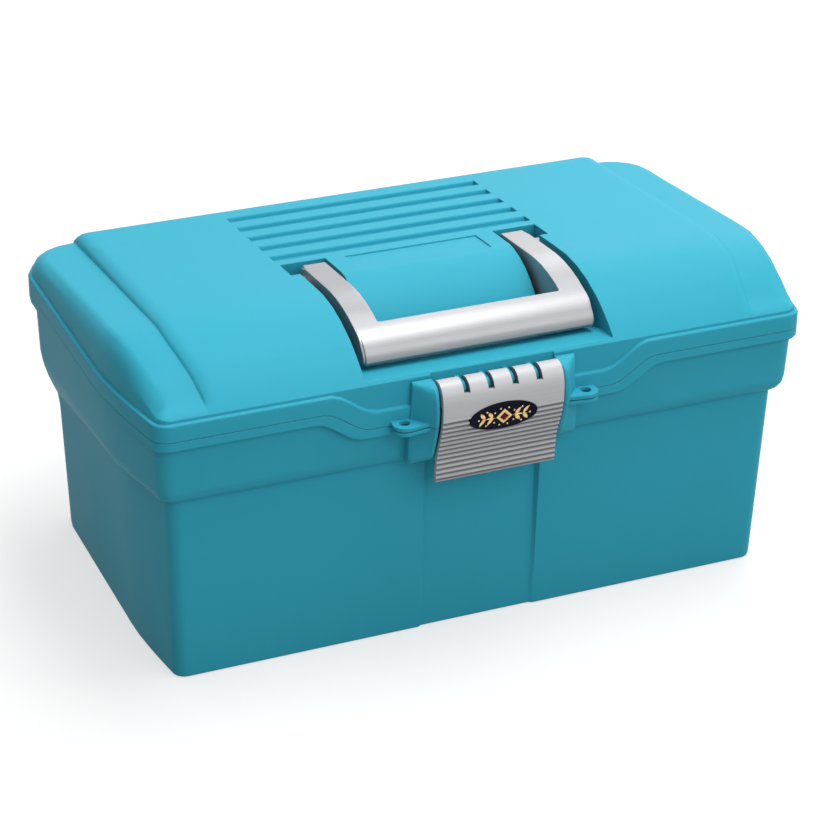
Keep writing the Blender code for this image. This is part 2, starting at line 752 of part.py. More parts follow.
def lid_tabs(bm):
    low = LID_EDGE_Z - DIP
    for side in (-1, 1):
        padlock_tab(bm, side, low + 0.2, low + TAB_THICK)


def outer_knuckle(x, side, trim=0.0):
    """Both ends, in X, of one of the lid's two knuckles beside a tub knuckle at x."""
    near = x + side * (KNUCKLE_HALF + KNUCKLE_GAP)
    return sorted((near + side * trim, near + side * (OUTER_KNUCKLE - trim)))


def lid_knuckles(bm):
    for x in HINGE_X:
        for side in (-1, 1):
            rod_x(bm, HINGE_AXIS, KNUCKLE_RADIUS, *outer_knuckle(x, side))


def lid_knuckle_webs(bm):
    y, z = HINGE_AXIS
    root_y = BAND_HALF[1] - 1.4
    profile = [(root_y, z + 2.6), (y, z + 2.0), (y, z + 4.4), (root_y, z + 8.2)]
    for x in HINGE_X:
        for side in (-1, 1):
            prism_x(bm, profile, *outer_knuckle(x, side, KNUCKLE_GAP))


def build_lid(material, hinge):
    bm = bmesh.new()
    rim = loft(bm, lid_lower_rings(), cap_last=False)[-1]
    dome(bm, rim, inset(BAND_HALF, 2.3), RIM_Z + 0.7, LID_RING_STEPS, SIDE_ROUND, LID_COLUMNS)
    lid = add_object("lid_shell", bm, material, (0.0, *HINGE_AXIS), hinge)
    recess = helper("recess_cut", recess_cut, material)
    cut(recess, "pad_block", pad_block)
    cut(lid, "lid_core", lid_core)
    join(lid, "recess_body", recess_body)
    join(lid, "pocket_bodies", pocket_bodies)
    boolean(lid, recess, "DIFFERENCE")
    cut(lid, "pocket_cuts", pocket_cuts)
    cut(lid, "pad_hollow", pad_hollow)
    cut(lid, "lid_grooves", grooves)
    cut(lid, "lid_plaque", plaque)
    cut(lid, "latch_bay", latch_bay)
    join(lid, "latch_lugs", latch_lugs)
    join(lid, "lid_cheeks", lid_cheeks)
    join(lid, "lid_tabs", lid_tabs)
    join(lid, "lid_knuckles", lid_knuckles)
    join(lid, "lid_knuckle_webs", lid_knuckle_webs)
    cut(lid, "latch_rod_bore", latch_rod_bore)
    cut(lid, "handle_pin_bores", handle_bores)
    cut(lid, "lid_tab_bores", tab_bores)
    cut(lid, "lid_hinge_bores", hinge_bores)


# Handle


def handle_profile():
    """(y, z) outline of the bail from the side: its top follows the crown and its front is rounded."""
    y, z = HANDLE_PIVOT
    top = crown_line(y + 5.6, -83.4, -0.2, 9)
    front = [(-87.0, 184.9), (-90.4, 183.0), (-93.6, 180.6), (-96.4, 177.6), (-98.0, 174.6)]
    front += [(-98.2, 171.8), (-96.6, 169.6), (-93.4, 168.6)]
    under = [(-80.0, 168.9), (-40.0, 171.0), (y - 5.0, z - 8.6), (y + 1.5, z - 8.6)]
    heel = [(y + 6.6, z - 5.6), (y + 8.4, z), (y + 7.6, z + 5.6)]
    return top + front + under + heel


def handle_window(bm):
    """The opening between the arms, with its front corners rounded into the bar."""
    reach, bar_back, corner = ARM_X[0], BAR_BACK_Y, WINDOW_CORNER
    right = circle((reach - corner, bar_back + corner), corner, 4, start=-pi / 2.0, sweep=pi / 2.0)
    outline = [(-x, y) for x, y in reversed(right)] + right + [(reach, 20.0), (-reach, 20.0)]
    prism_z(bm, outline, 150.0, CLEAR_Z)


def handle_barrels(bm):
    for side in (-1, 1):
        rod_x(bm, HANDLE_PIVOT, BARREL_RADIUS, *sorted(side * x for x in BARREL_X))


def arm_hollows(bm):
    """Each arm is cored out from below."""
    profile = [(-76.0, 160.0), (-76.0, 174.0), (-68.0, 181.0), (-45.0, 184.0)]
    profile += [(-24.0, 181.0), (-22.0, 160.0)]
    for side in (-1, 1):
        spots = (side * (ARM_X[0] + ARM_WALL), side * (ARM_X[1] - ARM_WALL))
        prism_x(bm, profile, *sorted(spots))


def build_handle(material, hinge):
    bm = bmesh.new()
    prism_x(bm, handle_profile(), -ARM_X[1], ARM_X[1])
    rims = [e for e in bm.edges if abs(e.verts[0].co.x - e.verts[1].co.x) < 1e-6]
    bmesh.ops.bevel(bm, geom=rims, offset=ARM_ROUND * MM, segments=2, affect="EDGES")
    handle = add_object("carry_handle", bm, material, (0.0, *HANDLE_PIVOT), hinge)
    cut(handle, "handle_window", handle_window)
    join(handle, "handle_barrels", handle_barrels)
    cut(handle, "arm_hollows", arm_hollows)
    cut(handle, "handle_bores", handle_bores)


# Latch


def latch_profile():
    """(y, z) section of the plate: smooth above, ribbed below, with a bead on its back."""
    y, z = LATCH_PIVOT
    top_z = BADGE_Z + 3.0
    pitch = (top_z - LATCH_BOTTOM_Z) / RIB_COUNT
    front = [(y - 0.4, z + 6.3), (y - 3.6, z + 6.0), (y - 6.0, z + 4.6)]
    front += [(latch_outer_y(h), h) for h in (160.5, 155.0, 150.0)]
    for i in range(RIB_COUNT):
        h = top_z - pitch * i
        out = latch_outer_y(h - pitch * 0.3)
        front += [(out, h), (out, h - pitch * 0.55), (out + RIB_DEPTH, h - pitch * 0.7)]
        front += [(out + RIB_DEPTH, h - pitch * 0.9)]
    foot = latch_outer_y(LATCH_BOTTOM_Z)
    front += [(foot, LATCH_BOTTOM_Z + 0.1), (foot + LATCH_THICK, LATCH_BOTTOM_Z)]
    back_z = (110.0, 116.0, 120.4)
    back = [(latch_outer_y(h) + LATCH_THICK, h) for h in back_z]
    bead = [(-116.8, 121.2), (-116.4, 122.8), (-117.4, 124.4)]
    upper = [(latch_outer_y(h) + LATCH_THICK, h) for h in (125.6, 132.0, 140.0, 148.0, 153.0)]
    return front + back + bead + upper + [(y - 3.4, z - 2.0), (y, z)]


def latch_roll(bm):
    rod_x(bm, LATCH_PIVOT, ROLL_RADIUS, -LATCH_HALF, LATCH_HALF, 24)


def latch_bore(bm):
    rod_x(bm, LATCH_PIVOT, PIN_RADIUS + PIN_CLEARANCE, -LATCH_HALF - 20.0, LATCH_HALF + 20.0, 12)


def latch_slots(bm):
    half = SLOT_WIDTH / 2.0
    for x in SLOT_X:
        box(bm, (x - half, x + half), (-126.2, -110.0), (154.4, 180.0))


def badge_seat(bm):
    spans = oval_spans(*[half + BADGE_ROOM for half in BADGE_HALF])
    face_plate(bm, spans, 6.0, BADGE_THICK - BADGE_PROUD + 0.2)


def build_latch(material, axis):
    bm = bmesh.new()
    prism_x(bm, latch_profile(), -LATCH_HALF, LATCH_HALF)
    latch = add_object("latch_plate", bm, material, (0.0, *LATCH_PIVOT), axis)
    join(latch, "latch_roll", latch_roll)
    cut(latch, "latch_bore", latch_bore)
    cut(latch, "latch_slots", latch_slots)
    cut(latch, "badge_seat", badge_seat)


def face_plate(bm, spans, lift, sink):
    """A plate that follows the latch's curved face: spans are (height from the badge's centre, x, x)."""
    rings = []
    for rise, x0, x1 in spans:
        z = BADGE_Z + rise
        front = latch_outer_y(z) - lift
        back = latch_outer_y(z) + sink
        rings.append([(x0, front, z), (x1, front, z), (x1, back, z), (x0, back, z)])
    loft(bm, rings)


def oval_spans(half_x, half_z, steps=14):
    angles = [pi * (i + 0.5) / (steps + 1) for i in range(steps + 1)]
    return [(-half_z * cos(a), -half_x * sin(a), half_x * sin(a)) for a in angles]


def build_badge(material, axis):
    bm = bmesh.new()
    face_plate(bm, oval_spans(*BADGE_HALF), BADGE_PROUD, BADGE_THICK - BADGE_PROUD)
    add_object("latch_badge", bm, material, (0.0, *LATCH_PIVOT), axis)


def ornament_stem(bm):
    face_plate(bm, [(-0.45, -13.0, 13.0), (0.45, -13.0, 13.0)], 1.0, ORNAMENT_SINK)


def ornament_lozenge(bm):
    spans = [(rise, abs(rise) - 4.8, 4.8 - abs(rise)) for rise in (-4.4, -2.2, 0.0, 2.2, 4.4)]
    face_plate(bm, spans, 1.4, ORNAMENT_SINK)


def ornament_leaves(bm, way):
    """Two leaves on each side of the lozenge, leaning outwards above or below the stem."""
    for side in (-1, 1):
        for x in (6.6, 11.2):
            spans = []
            for share in (0.0, 0.25, 0.5, 0.75, 1.0):
                middle = side * (x + 3.2 * share)
                half = 0.35 + 0.85 * sin(pi * share)
                spans.append((way * (0.1 + 4.2 * share), middle - half, middle + half))
            face_plate(bm, spans, 1.2, ORNAMENT_SINK)


def build_ornament(material, axis):
    """A lozenge between pairs of leaves on a thin stem, standing on the badge."""
    bm = bmesh.new()
    ornament_stem(bm)
    ornament = add_object("badge_ornament", bm, material, (0.0, *LATCH_PIVOT), axis)
    join(ornament, "ornament_lozenge", ornament_lozenge)
    join(ornament, "upper_leaves", lambda tool: ornament_leaves(tool, 1.0))
    join(ornament, "lower_leaves", lambda tool: ornament_leaves(tool, -1.0))


# Pins and tray


def build_pin(name, material, axis, parent, x0, x1):
    bm = bmesh.new()
    rod_x(bm, axis, PIN_RADIUS, x0, x1, 16)
    rims = [e for e in bm.edges if abs(e.verts[0].co.x - e.verts[1].co.x) < 1e-6]
    bmesh.ops.bevel(bm, geom=rims, offset=0.35 * MM, segments=1, affect="EDGES")
    add_object(name, bm, material, ((x0 + x1) / 2.0, *axis), parent)


def tray_ring(half, z):
    return ring(half, z, TUB_BACK, TUB_BACK)


def tray_cavity(bm):
    low, high = TRAY_Z
    foot = inset(TRAY_LOW_HALF, TRAY_WALL + 2.0)
    wall = inset(TRAY_LOW_HALF, TRAY_WALL)
    rim = inset(TRAY_HIGH_HALF, TRAY_WALL + 0.9)
    levels = [tray_ring(foot, low + TRAY_WALL), tray_ring(wall, low + TRAY_WALL + 2.4)]
    loft(bm, levels + [tray_ring(rim, high + 1.0)])


def tray_dividers(bm):
    low, high = TRAY_Z
    for side in (-1, 1):
        x = side * TRAY_END_X
        half = DIVIDER_THICK / 2.0
        box(bm, (x - half, x + half), (-130.0, 130.0), (low - 5.0, high + 9.0))


def tray_centre_divider(bm):
    low, high = TRAY_Z
    box(bm, (-TRAY_END_X, TRAY_END_X), (-GRIP_HALF, GRIP_HALF), (low - 5.0, high + 9.0))


def tray_grip(bm):
    """The centre divider rises between the compartments into a bar that fingers close round."""
    foot, top = TRAY_Z[1] - 4.0, TRAY_GRIP_TOP
    profile = [(-GRIP_HALF, foot), (GRIP_HALF, foot), (GRIP_HALF, top - 2.0)]
    profile += [(1.8, top), (-1.8, top), (-GRIP_HALF, top - 2.0)]
    prism_x(bm, profile, -52.0, 52.0)


def tray_grip_hole(bm):
    low, high = TRAY_Z
    box(bm, (-42.0, 42.0), (-10.0, 10.0), (low + 8.0, high - 1.5))


def build_tray(material):
    low, high = TRAY_Z
    rings = [tray_ring(inset(TRAY_LOW_HALF, 1.6), low), tray_ring(TRAY_LOW_HALF, low + 1.6)]
    rings.append(tray_ring(inset(TRAY_HIGH_HALF, 0.9), high - 2.4))
    rings.append(tray_ring(TRAY_HIGH_HALF, high - 2.2))
    rings.append(tray_ring(TRAY_HIGH_HALF, high))
    bm = bmesh.new()
    loft(bm, rings)
    tray = add_object("lift_out_tray", bm, material, (0.0, 0.0, low))
    compartments = helper("tray_cavity", tray_cavity, material)
    cut(compartments, "tray_dividers", tray_dividers)
    cut(compartments, "tray_centre_divider", tray_centre_divider)
    boolean(tray, compartments, "DIFFERENCE")
    join(tray, "tray_grip", tray_grip)
    cut(tray, "tray_grip_hole", tray_grip_hole)


def main():
    clear_scene()
    teal = make_material("teal_plastic", TEAL, 0.5)
    silver = make_material("silver_plastic", SILVER, 0.35, 0.7)
    steel = make_material("steel", STEEL, 0.3, 1.0)
    navy = make_material("badge_enamel", NAVY, 0.15)
    gold = make_material("ornament_metal", GOLD, 0.3, 1.0)
    lid_joint = joint_empty("lid_axis", HINGE_AXIS)
    handle_joint = joint_empty("handle_axis", HANDLE_PIVOT, lid_joint)
    latch_joint = joint_empty("latch_axis", LATCH_PIVOT, lid_joint)
    build_tub(teal)
    build_tray(teal)
    build_lid(teal, lid_joint)
    build_handle(silver, handle_joint)
    build_latch(silver, latch_joint)
    build_badge(navy, latch_joint)
    build_ornament(gold, latch_joint)
    build_pin("latch_rod", steel, LATCH_PIVOT, lid_joint, -LATCH_ROD_HALF, LATCH_ROD_HALF)
    for name, side in (("handle_pin_left", -1), ("handle_pin_right", 1)):
        build_pin(name, steel, HANDLE_PIVOT, lid_joint, *sorted(side * x for x in HANDLE_PIN_X))
    for name, x in zip(("hinge_pin_left", "hinge_pin_right"), HINGE_X):
        reach = KNUCKLE_HALF + KNUCKLE_GAP + OUTER_KNUCKLE
        build_pin(name, steel, HINGE_AXIS, None, x - reach, x + reach)


main()
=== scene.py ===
import json
from math import cos, pi, radians, sin

import bmesh
import bpy
from mathutils import Matrix, Vector

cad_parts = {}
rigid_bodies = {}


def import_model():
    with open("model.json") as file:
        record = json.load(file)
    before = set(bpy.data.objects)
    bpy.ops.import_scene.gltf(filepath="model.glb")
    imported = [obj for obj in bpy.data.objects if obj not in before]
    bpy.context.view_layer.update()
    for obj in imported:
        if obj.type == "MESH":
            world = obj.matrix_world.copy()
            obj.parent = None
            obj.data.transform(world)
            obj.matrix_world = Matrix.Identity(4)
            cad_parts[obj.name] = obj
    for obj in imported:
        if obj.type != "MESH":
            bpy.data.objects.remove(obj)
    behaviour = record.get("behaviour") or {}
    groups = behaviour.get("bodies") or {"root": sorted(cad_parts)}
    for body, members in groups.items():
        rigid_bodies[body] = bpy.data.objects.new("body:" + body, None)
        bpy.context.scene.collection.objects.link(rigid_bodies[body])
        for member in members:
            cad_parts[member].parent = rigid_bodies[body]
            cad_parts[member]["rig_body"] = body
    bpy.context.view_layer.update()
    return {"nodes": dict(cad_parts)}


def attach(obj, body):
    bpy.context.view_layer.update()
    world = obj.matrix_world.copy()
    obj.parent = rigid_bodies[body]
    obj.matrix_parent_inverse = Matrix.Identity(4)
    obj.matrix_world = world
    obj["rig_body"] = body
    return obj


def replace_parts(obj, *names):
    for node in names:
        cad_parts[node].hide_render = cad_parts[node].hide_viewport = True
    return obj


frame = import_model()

# Lengths are in metres unless a name says otherwise. The box's front faces -Y, and +Z is up.

# Camera
IMAGE_PX = 830.0
SENSOR_MM = 36.0
FOCAL_PX = 2680.66
CAMERA_AZIMUTH = -0.40640
CAMERA_ELEVATION = 0.48577
CAMERA_ROLL = 0.01509
CAMERA_DISTANCE = 1.36112
CAMERA_TARGET = (-0.070995, -0.173492, 0.178941)

# Light: the sky's strength is a mean plus a slope, and the floor dims between two y values
SKY_MEAN = 0.42
SKY_SLOPE = (0.31, 0.00, 0.42)
FLOOR_HALF = 6.0
FLOOR_GLOW = 0.6
FLOOR_NEAR_Y = -0.25
FLOOR_FAR_Y = 0.10

# Meshes
SHARP_EDGE = radians(32.0)
FLAT_JOIN = radians(0.3)
SAME_POINT = 1e-6

# Latch: its rod's axis as (y, z), its half width, its plate's thickness, and its bore
LATCH_PIVOT = (-0.1202, 0.1598)
LATCH_HALF = 0.0355
LATCH_PLATE = 0.0026
BORE_RADIUS = 0.0019
BORE_CUT_HALF = 0.05

# Latch front: rolled over at the top, upright, then drawn in to a foot
ROLL_START_Z = 0.152
ROLL_RISE = 0.0141
ROLL_REACH = 0.0093
ROLL_POWER = 2.3
ROLL_RADIUS = 0.0063
FACE_Y = -0.1295
DRAW_START_Z = 0.148
DRAW_END_Z = 0.118
DRAW_IN = 0.0079
DRAW_RUN = 0.036
DRAW_SHARE = 30.0 / 36.0
FOOT_Y = -0.1216
FOOT_LEAN = 0.0008
FOOT_RUN = 0.013
FOOT_Z = 0.105
LATCH_END_Z = 0.1046

# Latch ribs: each point as (share of the pitch, share of the groove's depth)
RIB_COUNT = 13
RIB_TOP_Z = 0.1460
RIBS_HEIGHT = 0.041
RIB_PITCH = RIBS_HEIGHT / RIB_COUNT
RIB_DEPTH = 0.0009
RIB_SHAPE = ((0.0, 0.15), (0.06, 0.0), (0.34, 0.0), (0.40, 0.15), (0.46, 1.0), (0.92, 1.0))

# Latch slots: where they are, and their cutter's outline as (y, z)
SLOT_X = (-0.0213, -0.0071, 0.0071, 0.0213)
SLOT_HALF = 0.0018
SLOT_OUTLINE = ((-0.135, 0.1607), (-0.135, 0.180), (-0.110, 0.180), (-0.110, 0.1544),
                (-0.1262, 0.1544), (-0.1262, 0.1598))

# Badge: each ring as (inset from the oval, lift over the latch's face)
BADGE_CENTRE_Z = 0.1430
BADGE_HALF = (0.0199, 0.0086)
BADGE_RINGS = ((0.0, -0.00125), (0.0, 0.00028), (0.00016, 0.00052), (0.0004, 0.00066),
               (0.0008, 0.00070), (0.0011, 0.00062), (0.0013, 0.00042), (0.0020, 0.00033),
               (0.0044, 0.00038), (0.0074, 0.00040))
BADGE_SEAT_GAP = 0.00022
BADGE_SEAT_LIFTS = (0.006, -0.00145)

# Badge ornament: each ring of a lozenge as (reach, lift), and a leaf's section as (side, lift)
FRAME_RINGS = ((0.0048, 0.00045), (0.0048, 0.00080), (0.0041, 0.00120), (0.0033, 0.00120),
               (0.0030, 0.00085))
STONE_RINGS = ((0.0027, 0.00080), (0.0025, 0.00105), (0.0013, 0.00135))
LEAF_SECTION = ((-1.0, 0.00045), (-1.0, 0.00068), (0.0, 0.00125), (1.0, 0.00068), (1.0, 0.00045))
LEAF_TIP = 0.00012
LEAF_STEPS = 8
STEM_X = (0.0050, 0.0134)
STEM_HALF = 0.00028
LEAF_ROOTS_X = (0.0066, 0.0112)
LEAF_ROOT_RISE = 0.0001
LEAF_REACH = (0.0032, 0.0043)
LEAF_HALF = 0.00095
BEAD_LIFT = 0.00075
BEAD_RADIUS = 0.00056
BEADS = ((0.0057, 0.0031), (0.0104, 0.0044), (0.0024, 0.0052))
END_BEAD_X = 0.0150
END_BEAD_RADIUS = 0.00062

# Lid: the foot of the shelf before the handle, and where it goes as (y, z)
SHELF_FOOT = (0.0732, -0.088, 0.164)
SHELF_FOOT_MOVED = (-0.0970, 0.1672)
CORNER_MATCH = 2e-4

# Lid: the tops of the latch cheeks, and the share of the way back to their root that they move
CHEEK_X = (0.0363, 0.0480)
CHEEK_FRONT_Y = -0.1138
CHEEK_ROOT_Y = -0.1137
CHEEK_ROUND_Z = 0.1634
CHEEK_TOP_Z = 0.1648
CHEEK_ROUND_SHARE = 0.16
CHEEK_TOP_SHARE = 0.50


def place_camera():
    """The photograph's view: from the front left, above the box, through a long lens."""
    azimuth, elevation, roll = CAMERA_AZIMUTH, CAMERA_ELEVATION, CAMERA_ROLL
    target = Vector(CAMERA_TARGET)
    back = Vector((sin(azimuth) * cos(elevation), -cos(azimuth) * cos(elevation), sin(elevation)))
    level = Vector((cos(azimuth), sin(azimuth), 0.0))
    upright = back.cross(level)
    right = level * cos(roll) + upright * sin(roll)
    up = upright * cos(roll) - level * sin(roll)
    data = bpy.data.cameras.new("camera")
    data.sensor_width = SENSOR_MM
    data.lens = SENSOR_MM * FOCAL_PX / IMAGE_PX
    camera = bpy.data.objects.new("camera", data)
    rotation = Matrix((right, up, back)).transposed().to_4x4()
    camera.matrix_world = Matrix.Translation(target + back * CAMERA_DISTANCE) @ rotation
    bpy.context.scene.collection.objects.link(camera)
    bpy.context.scene.camera = camera


def new_material(name):
    made = bpy.data.materials.new(name)
    made.use_nodes = True
    return made, made.node_tree, made.node_tree.nodes["Principled BSDF"]


def node(tree, kind, **values):
    """A shader node with its properties and unlinked sockets set by name."""
    made = tree.nodes.new("ShaderNode" + kind)
    for name, value in values.items():
        if name in made.inputs:
            made.inputs[name].default_value = value
        else:
            setattr(made, name, value)
    return made


def feed(tree, socket, value):
    """Sets a socket to a number or a colour, or links another node's output to it."""
    if isinstance(value, tuple):
        socket.default_value = (*value, 1.0)
    elif isinstance(value, float):
        socket.default_value = value
    else:
        tree.links.new(value, socket)


def noise(tree, vector, scale, detail, roughness):
    made = node(tree, "TexNoise", Scale=scale, Detail=detail, Roughness=roughness)
    tree.links.new(vector, made.inputs["Vector"])
    return made.outputs["Fac"]


def stretched(tree, vector, scale):
    made = node(tree, "Mapping", Scale=scale)
    tree.links.new(vector, made.inputs["Vector"])
    return made.outputs["Vector"]


def remap(tree, value, low, high, start=0.0, end=1.0):
    made = node(tree, "MapRange")
    for name, number in (("From Min", start), ("From Max", end), ("To Min", low), ("To Max", high)):
        made.inputs[name].default_value = number
    tree.links.new(value, made.inputs["Value"])
    return made.outputs["Result"]


def mix_colour(tree, factor, a, b):
    made = node(tree, "Mix", data_type="RGBA")
    for socket, value in ((made.inputs["Factor"], factor), (made.inputs[6], a), (made.inputs[7], b)):
        feed(tree, socket, value)
    return made.outputs[2]


def combine(tree, operation, *values):
    made = node(tree, "Math", operation=operation)
    for socket, value in zip(made.inputs, values):
        feed(tree, socket, value)
    return made.outputs["Value"]


def dot_product(tree, a, b):
    made = node(tree, "VectorMath", operation="DOT_PRODUCT")
    tree.links.new(a, made.inputs[0])
    tree.links.new(b, made.inputs[1])
    return made.outputs["Value"]


def soft_edges(tree, radius):
    """The surface's normal, rounded over its edges."""
    made = node(tree, "Bevel", Radius=radius)
    made.samples = 6
    return made.outputs["Normal"]


def edge_share(tree, rounded):
    """From 0 on a face to 1 on an edge, by how far the rounded normal leaves the face's own."""
    facing = dot_product(tree, rounded, node(tree, "NewGeometry").outputs["Normal"])
    return remap(tree, facing, low=1.0, high=0.0, start=0.72, end=0.99)


def bump(tree, height, strength, distance, normal):
    made = node(tree, "Bump", Strength=strength, Distance=distance)
    tree.links.new(height, made.inputs["Height"])
    tree.links.new(normal, made.inputs["Normal"])
    return made.outputs["Normal"]


def moulded_plastic(name, colour, worn, roughness, edge_radius):
    """Moulded plastic with a fine matte grain, uneven gloss, rubbed edges and faint scuffs."""
    made, tree, shader = new_material(name)
    where = node(tree, "TexCoord").outputs["Object"]
    rounded = soft_edges(tree, edge_radius)
    fine = noise(tree, where, scale=1500.0, detail=2.0, roughness=0.6)
    cloudy = noise(tree, where, scale=14.0, detail=4.0, roughness=0.55)
    lengthwise = stretched(tree, where, (25.0, 380.0, 380.0))
    scuffs = noise(tree, lengthwise, scale=1.0, detail=3.0, roughness=0.7)
    scuffed = remap(tree, scuffs, low=0.0, high=1.0, start=0.66, end=0.80)
    darker = tuple(c * 0.93 for c in colour)
    tint = mix_colour(tree, cloudy, darker, colour)
    rubbed = combine(tree, "MULTIPLY", edge_share(tree, rounded), 0.30)
    tree.links.new(mix_colour(tree, rubbed, tint, worn), shader.inputs["Base Color"])
    uneven = remap(tree, cloudy, low=roughness - 0.05, high=roughness + 0.06)
    tree.links.new(combine(tree, "MULTIPLY_ADD", scuffed, 0.10, uneven), shader.inputs["Roughness"])
    grained = bump(tree, fine, strength=0.20, distance=0.00006, normal=rounded)
    tree.links.new(grained, shader.inputs["Normal"])
    shader.inputs["Specular IOR Level"].default_value = 0.09
    return made


def silver_plastic(name, colour, roughness, edge_radius, metallic):
    """Silver-coloured plastic with fine flake, lengthwise polishing marks and bright edges."""
    made, tree, shader = new_material(name)
    where = node(tree, "TexCoord").outputs["Object"]
    rounded = soft_edges(tree, edge_radius)
    flake = noise(tree, where, scale=3200.0, detail=1.0, roughness=0.5)
    lengthwise = stretched(tree, where, (30.0, 1500.0, 1500.0))
    marks = noise(tree, lengthwise, scale=1.0, detail=2.0, roughness=0.5)
    cloudy = noise(tree, where, scale=22.0, detail=3.0, roughness=0.5)
    darker = tuple(c * 0.86 for c in colour)
    lighter = tuple(c * 1.12 for c in colour)
    flaked = mix_colour(tree, flake, darker, lighter)
    brushed = mix_colour(tree, marks, darker, lighter)
    tint = mix_colour(tree, 0.6, flaked, brushed)
    rubbed = remap(tree, edge_share(tree, rounded), low=0.0, high=0.35)
    tree.links.new(mix_colour(tree, rubbed, tint, (0.85, 0.86, 0.88)), shader.inputs["Base Color"])
    uneven = remap(tree, cloudy, low=roughness - 0.05, high=roughness + 0.07)
    tree.links.new(uneven, shader.inputs["Roughness"])
    scratched = bump(tree, marks, strength=0.10, distance=0.00004, normal=rounded)
    tree.links.new(scratched, shader.inputs["Normal"])
    shader.inputs["Metallic"].default_value = metallic
    return made


def enamel(name, colour):
    """Dark enamel with a faintly clouded colour and gloss."""
    made, tree, shader = new_material(name)
    where = node(tree, "TexCoord").outputs["Object"]
    cloudy = noise(tree, where, scale=260.0, detail=3.0, roughness=0.6)
    lighter = tuple(c * 1.8 for c in colour)
    tree.links.new(mix_colour(tree, cloudy, colour, lighter), shader.inputs["Base Color"])
    tree.links.new(remap(tree, cloudy, low=0.10, high=0.24), shader.inputs["Roughness"])
    rippled = bump(tree, cloudy, strength=0.06, distance=0.00005, normal=soft_edges(tree, 0.0003))
    tree.links.new(rippled, shader.inputs["Normal"])
    shader.inputs["Specular IOR Level"].default_value = 0.05
    return made


def metal(name, colour, roughness, stretch):
    """Bare metal with drawing or casting marks."""
    made, tree, shader = new_material(name)
    where = node(tree, "TexCoord").outputs["Object"]
    marks = noise(tree, stretched(tree, where, stretch), scale=1.0, detail=3.0, roughness=0.6)
    darker = tuple(c * 0.75 for c in colour)
    tree.links.new(mix_colour(tree, marks, darker, colour), shader.inputs["Base Color"])
    uneven = remap(tree, marks, low=roughness - 0.06, high=roughness + 0.10)
    tree.links.new(uneven, shader.inputs["Roughness"])
    marked = bump(tree, marks, strength=0.15, distance=0.00005, normal=soft_edges(tree, 0.0002))
    tree.links.new(marked, shader.inputs["Normal"])
    shader.inputs["Metallic"].default_value = 1.0
    return made


def area_light(name, location, target, size, power):
    data = bpy.data.lights.new(name, "AREA")
    data.shape = "RECTANGLE"
    data.size, data.size_y = size
    data.energy = power
    light = bpy.data.objects.new(name, data)
    light.location = location
    direction = Vector(target) - Vector(location)
    light.rotation_euler = direction.to_track_quat("-Z", "Y").to_euler()
    bpy.context.scene.collection.objects.link(light)


def seen_ray(tree):
    """1 for rays that see the white background: the camera's, reflected and transmitted ones."""
    path = node(tree, "LightPath")
    seen = path.outputs["Is Camera Ray"]
    for kind in ("Is Glossy Ray", "Is Transmission Ray"):
        seen = combine(tree, "MAXIMUM", seen, path.outputs[kind])
    return seen


def make_floor():
    """A pale sheet, nearly white where it is seen, that still takes the shadow under the box.

    For the light that it sends up to the box it is darker, the more so towards the back.
    """
    half = FLOOR_HALF
    mesh = bpy.data.meshes.new("floor")
    corners = [(-half, -half, 0.0), (half, -half, 0.0), (half, half, 0.0), (-half, half, 0.0)]
    mesh.from_pydata(corners, [], [(0, 1, 2, 3)])
    floor = bpy.data.objects.new("floor", mesh)
    bpy.context.scene.collection.objects.link(floor)
    made, tree, shader = new_material("floor_paper")
    where = node(tree, "TexCoord").outputs["Object"]
    fibre = noise(tree, where, scale=300.0, detail=3.0, roughness=0.6)
    seen = seen_ray(tree)
    paper = mix_colour(tree, fibre, (0.90, 0.90, 0.90), (0.94, 0.94, 0.94))
    parts = node(tree, "SeparateXYZ")
    tree.links.new(where, parts.inputs[0])
    near = remap(tree, parts.outputs["Y"], low=1.0, high=0.0, start=FLOOR_NEAR_Y, end=FLOOR_FAR_Y)
    dim = mix_colour(tree, near, (0.08, 0.08, 0.08), (0.36, 0.36, 0.36))
    tree.links.new(mix_colour(tree, seen, dim, paper), shader.inputs["Base Color"])
    tree.links.new(remap(tree, fibre, low=0.85, high=0.95), shader.inputs["Roughness"])
    glow = node(tree, "Emission", Strength=1.0)
    glow.inputs["Color"].default_value = (1.0, 1.0, 1.0, 1.0)
    blend = node(tree, "MixShader")
    tree.links.new(remap(tree, seen, low=0.0, high=FLOOR_GLOW), blend.inputs[0])
    tree.links.new(shader.outputs["BSDF"], blend.inputs[1])
    tree.links.new(glow.outputs["Emission"], blend.inputs[2])
    tree.links.new(blend.outputs["Shader"], tree.nodes["Material Output"].inputs["Surface"])
    mesh.materials.append(made)


def make_world():
    """White where it is seen; for light, a soft sky that is brightest overhead and to the right."""
    world = bpy.data.worlds.new("studio")
    world.use_nodes = True
    tree = world.node_tree
    background = tree.nodes["Background"]
    where = node(tree, "TexCoord").outputs["Generated"]
    slope = node(tree, "VectorMath", operation="DOT_PRODUCT")
    tree.links.new(where, slope.inputs[0])
    slope.inputs[1].default_value = SKY_SLOPE
    sky = combine(tree, "ADD", slope.outputs["Value"], SKY_MEAN)
    strength = node(tree, "Mix", data_type="FLOAT")
    feed(tree, strength.inputs["Factor"], seen_ray(tree))
    feed(tree, strength.inputs[2], sky)
    feed(tree, strength.inputs[3], 1.0)
    background.inputs["Color"].default_value = (1.0, 1.0, 1.0, 1.0)
    tree.links.new(strength.outputs[0], background.inputs["Strength"])
    bpy.context.scene.world = world


